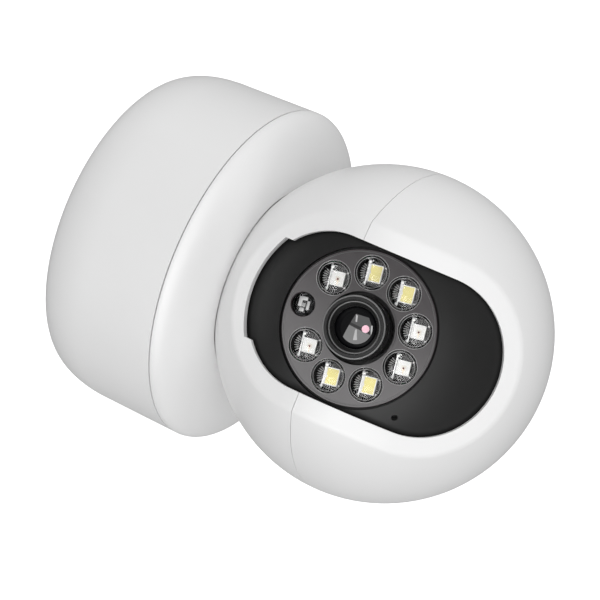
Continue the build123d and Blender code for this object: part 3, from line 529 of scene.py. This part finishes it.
def lens_inside():
    """Black stepped baffles down the barrel, fine grey rings on its head, and a pink dot on the glass: the
    rings' grey is painted highlight and the dot a painted reflection of the pupil.
    """
    mesh = bmesh.new()
    steps = ((29.0, 4.05, 3.3), (27.4, 3.3, 2.6), (25.8, 2.6, 1.9))
    for z, wide, narrow in steps:
        low = z - 1.2
        outline = [(BAFFLE_SEAT_R, z), (wide, z), (narrow, z - 0.9), (narrow, low), (BAFFLE_SEAT_R, low)]
        lathe(mesh, outline, on_drum(), 72)
    finish_mesh("lens_baffles", mesh, BAFFLE_BLACK, "camera")
    front = LENS_FRONT_Z
    # Grey rings on the lens head: painted highlights of the barrel's ring edges.
    ring_piece("lens_head_rings", [
        (5.93, front - 0.14, 0.20, 0.06),
        (5.42, front - 0.08, 0.13, 0.05),
        (4.95, front - 0.66, 0.12, 0.06),
    ], RING_HIGHLIGHT_GREY)
    # A grey ring at the glass's edge: a painted highlight of the glass's chamfer.
    ring_piece("lens_glass_rim", [(4.16, GLASS_FRONT_Z - 1.78, 0.07, 0.12)], EDGE_HIGHLIGHT_GREY)
    # A pink cap on the glass where the pupil's glint shows: painted reflection.
    pupil = bmesh.new()
    centre = on_drum() @ Matrix.Translation((0, 0, GLASS_FRONT_Z - GLASS_R))
    lean = Vector(PUPIL_LEAN).to_track_quat("Z", "Y").to_matrix().to_4x4()
    button_cap(pupil, PUPIL_R, PUPIL_CROWN, centre @ lean @ Matrix.Translation((0, 0, GLASS_R)))
    finish_mesh("lens_pupil", pupil, PUPIL_REFLECTION, "camera")


# ---------------------------------------------------------------- stage

FLOOR_SIZE = 12.0
FLOOR_GLOW = 1.0
SKY_GLOW = 0.55
SKY_SEEN = 1.0
SKY_SHEEN = 0.12


def floor():
    """A plain pale floor that glows as a light table does, but lights nothing: the sky does that."""
    mat, tree, shader = new_material("floor")
    shade = ramp(tree, noise(tree, 0.02), (0.60, 0.60, 0.60), (0.64, 0.64, 0.64))
    tree.links.new(shade, shader.inputs["Base Color"])
    shader.inputs["Roughness"].default_value = 0.9
    shader.inputs["Specular IOR Level"].default_value = 0.0
    shader.inputs["Emission Color"].default_value = (1, 1, 1, 1)
    shader.inputs["Emission Strength"].default_value = FLOOR_GLOW
    bpy.ops.mesh.primitive_plane_add(size=FLOOR_SIZE)
    plane = bpy.context.object
    plane.name = "floor"
    plane.visible_diffuse = plane.visible_glossy = False
    plane.visible_transmission = plane.visible_shadow = False
    paint(plane, mat)


def world():
    """An even sky, which the camera sees as white and shiny things mirror as dim."""
    scene_world = bpy.data.worlds.new("studio")
    bpy.context.scene.world = scene_world
    scene_world.use_nodes = True
    tree = scene_world.node_tree
    back = tree.nodes["Background"]
    back.inputs["Color"].default_value = (1, 1, 1, 1)
    path = tree.nodes.new("ShaderNodeLightPath")
    mirrored_ray = tree.nodes.new("ShaderNodeMath")
    mirrored_ray.operation = "MAXIMUM"
    tree.links.new(path.outputs["Is Glossy Ray"], mirrored_ray.inputs[0])
    tree.links.new(path.outputs["Is Transmission Ray"], mirrored_ray.inputs[1])
    unseen = span(tree, mirrored_ray.outputs["Value"], SKY_GLOW, SKY_SHEEN)
    seen = span(tree, path.outputs["Is Camera Ray"], SKY_GLOW, SKY_SEEN)
    tree.links.new(unseen, seen.node.inputs["To Min"])
    tree.links.new(seen, back.inputs["Strength"])


VIEW_AZIMUTH = math.radians(-2.4)
VIEW_ELEVATION = math.radians(24.3)
VIEW_ROLL = math.radians(113.9)
VIEW_DISTANCE = 0.5125
AIM_DROP = 0.0201
AIM_ASIDE = -0.0003
AIM_BELOW = -0.00065


def camera():
    """From the front and above, rolled so that the base is at the left."""
    back = Vector((
        math.sin(VIEW_AZIMUTH) * math.cos(VIEW_ELEVATION),
        -math.cos(VIEW_AZIMUTH) * math.cos(VIEW_ELEVATION),
        math.sin(VIEW_ELEVATION),
    ))
    data = bpy.data.cameras.new("camera")
    data.lens = 150
    data.sensor_width = 36
    data.clip_start = 0.01
    data.clip_end = 20
    eye = bpy.data.objects.new("camera", data)
    bpy.context.scene.collection.objects.link(eye)
    level = (-back).to_track_quat("-Z", "Y").to_matrix().to_4x4()
    turned = level @ Matrix.Rotation(VIEW_ROLL, 4, "Z")
    aim = BALL_CENTRE - Vector((0, 0, AIM_DROP))
    aim += turned.to_3x3() @ Vector((AIM_ASIDE, AIM_BELOW, 0))
    eye.matrix_world = Matrix.Translation(aim + back * VIEW_DISTANCE) @ turned
    bpy.context.scene.camera = eye
    return eye


def from_view(eye, right, up, reach):
    """The place at a distance from the ball, at angles to the right of the camera and above it."""
    axes = eye.matrix_world.to_3x3()
    turn, lift = math.radians(right), math.radians(up)
    ray = axes.col[0] * math.sin(turn) * math.cos(lift) + axes.col[1] * math.sin(lift)
    return BALL_CENTRE + (ray + axes.col[2] * math.cos(turn) * math.cos(lift)) * reach


def mirrored(eye, left, up, reach):
    """A place that the camera sees mirrored in the lens, millimetres beside the middle of the glass."""
    axes = eye.matrix_world.to_3x3()
    axis = DRUM_FRAME.to_3x3() @ Vector((0, 0, 1))
    centre = DRUM_FRAME @ Vector((0, 0, (GLASS_FRONT_Z - GLASS_R) * MM))
    offset = (-axes.col[0] * left + axes.col[1] * up) * MM
    offset -= axis * offset.dot(axis)
    rise = math.sqrt((GLASS_R * MM) ** 2 - offset.length_squared)
    normal = (offset + axis * rise) / (GLASS_R * MM)
    spot = centre + normal * GLASS_R * MM
    to_eye = (eye.matrix_world.translation - spot).normalized()
    return spot + (2 * normal.dot(to_eye) * normal - to_eye) * reach


# Degrees to the right of the camera, degrees above it, and power, for each soft box.
SOFT_BOXES = {
    "front": (0, 10, 1.84),
    "over": (0, 62, 0.42),
    "under": (0, -62, 1.84),
    "over_right": (48, 42, 1.31),
}
BOX_REACH = 0.8
BOX_SIZE = 0.45


def soft_box(name, place, power):
    """A square soft light that faces the ball, and that nothing mirrors."""
    data = bpy.data.lights.new(name, "AREA")
    data.shape = "RECTANGLE"
    data.size = data.size_y = BOX_SIZE
    data.energy = power
    lamp = bpy.data.objects.new(name, data)
    bpy.context.scene.collection.objects.link(lamp)
    lamp.location = place
    lamp.rotation_euler = (BALL_CENTRE - place).to_track_quat("-Z", "Y").to_euler()
    lamp.visible_glossy = lamp.visible_camera = False


# Millimetres left of the middle of the lens and above it, for each corner of a panel as the lens shows it.
PANEL_CORNERS = (
    (1.04, 0.52), (2.85, -2.5), (2.15, -3.3), (1.0, -3.95),
    (-0.2, -4.15), (-1.6, -3.85), (-2.7, -3.1), (-3.07, -1.53),
)
BAND_CORNERS = ((0.75, 1.0), (1.04, 0.52), (-3.07, -1.53), (-3.2, -0.9))
FAINT_CORNERS = ((-0.2, 2.6), (0.75, 1.0), (-3.2, -0.9), (-3.4, -0.1), (-2.75, 1.8))
STREAK_CORNERS = ((-0.2, -0.4), (0.35, -2.4), (-0.45, -2.4), (-0.5, -0.4))
SPARK_CORNERS = ((-0.25, 2.5), (-0.2, 1.1), (-0.5, 1.0), (-0.6, 2.2))
EDGE_CORNERS = ((-3.15, 0.3), (-3.05, -1.6), (-3.35, -1.6), (-3.45, 0.3))
PANEL_REACH = 0.42
STREAK_AHEAD = 0.01
PANEL_GLOW = 3.7
BAND_GLOW = 0.8
FAINT_GLOW = 1.8
STREAK_GLOW = 8.5
EDGE_STEPS = 6
PANEL_RINGS = 5


def panel_grid(corners):
    """Points that fill an outline ring by ring from its middle, and the faces between them."""
    outline = []
    for (left, up), (next_left, next_up) in zip(corners, corners[1:] + corners[:1]):
        for k in range(EDGE_STEPS):
            t = k / EDGE_STEPS
            outline.append((left + (next_left - left) * t, up + (next_up - up) * t))
    count = len(outline)
    mid_left, mid_up = (sum(place) / count for place in zip(*outline))
    spots = [(mid_left, mid_up)]
    for ring in range(1, PANEL_RINGS + 1):
        spots += [
            (mid_left + (left - mid_left) * ring / PANEL_RINGS, mid_up + (up - mid_up) * ring / PANEL_RINGS)
            for left, up in outline
        ]
    faces = [(0, 1 + k, 1 + (k + 1) % count) for k in range(count)]
    for ring in range(PANEL_RINGS - 1):
        inner, outer = 1 + ring * count, 1 + (ring + 1) * count
        for k in range(count):
            after = (k + 1) % count
            faces.append((inner + k, outer + k, outer + after, inner + after))
    return spots, faces


def glowing_panel(name, eye, corners, reach, glow):
    """A curved lamp that the lens mirrors in the shape of its corners."""
    spots, faces = panel_grid(corners)
    data = bpy.data.meshes.new(name)
    data.from_pydata([mirrored(eye, *spot, reach) for spot in spots], [], faces)
    panel = bpy.data.objects.new(name, data)
    bpy.context.scene.collection.objects.link(panel)
    mat, tree, shader = new_material(name)
    shader.inputs["Base Color"].default_value = (0, 0, 0, 1)
    glow_colour = ramp(tree, noise(tree, 0.004), (0.97, 0.97, 0.97), (1, 1, 1))
    tree.links.new(glow_colour, shader.inputs["Emission Color"])
    shader.inputs["Emission Strength"].default_value = glow
    paint(panel, mat)
    panel.visible_camera = panel.visible_shadow = panel.visible_diffuse = False


def lights(eye):
    """Soft boxes round the camera, and the panels that the lens and the face plate mirror."""
    for name, (right, up, power) in SOFT_BOXES.items():
        soft_box(name, from_view(eye, right, up, BOX_REACH), power)
    glowing_panel("panel", eye, PANEL_CORNERS, PANEL_REACH, PANEL_GLOW)
    glowing_panel("dim_band", eye, BAND_CORNERS, PANEL_REACH, BAND_GLOW)
    glowing_panel("faint_panel", eye, FAINT_CORNERS, PANEL_REACH, FAINT_GLOW)
    streaks = {"streak": STREAK_CORNERS, "spark": SPARK_CORNERS, "edge": EDGE_CORNERS}
    for name, corners in streaks.items():
        glowing_panel(name, eye, corners, PANEL_REACH - STREAK_AHEAD, STREAK_GLOW)


lamp_wells()
lamp_strips()
lamp_packages()
lamp_dies()
window_rims()
sensor_inside()
plate_rim()
lens_front_glass()
lens_inside()
floor()
world()
eye = camera()
lights(eye)
bpy.context.scene.view_settings.view_transform = "Standard"
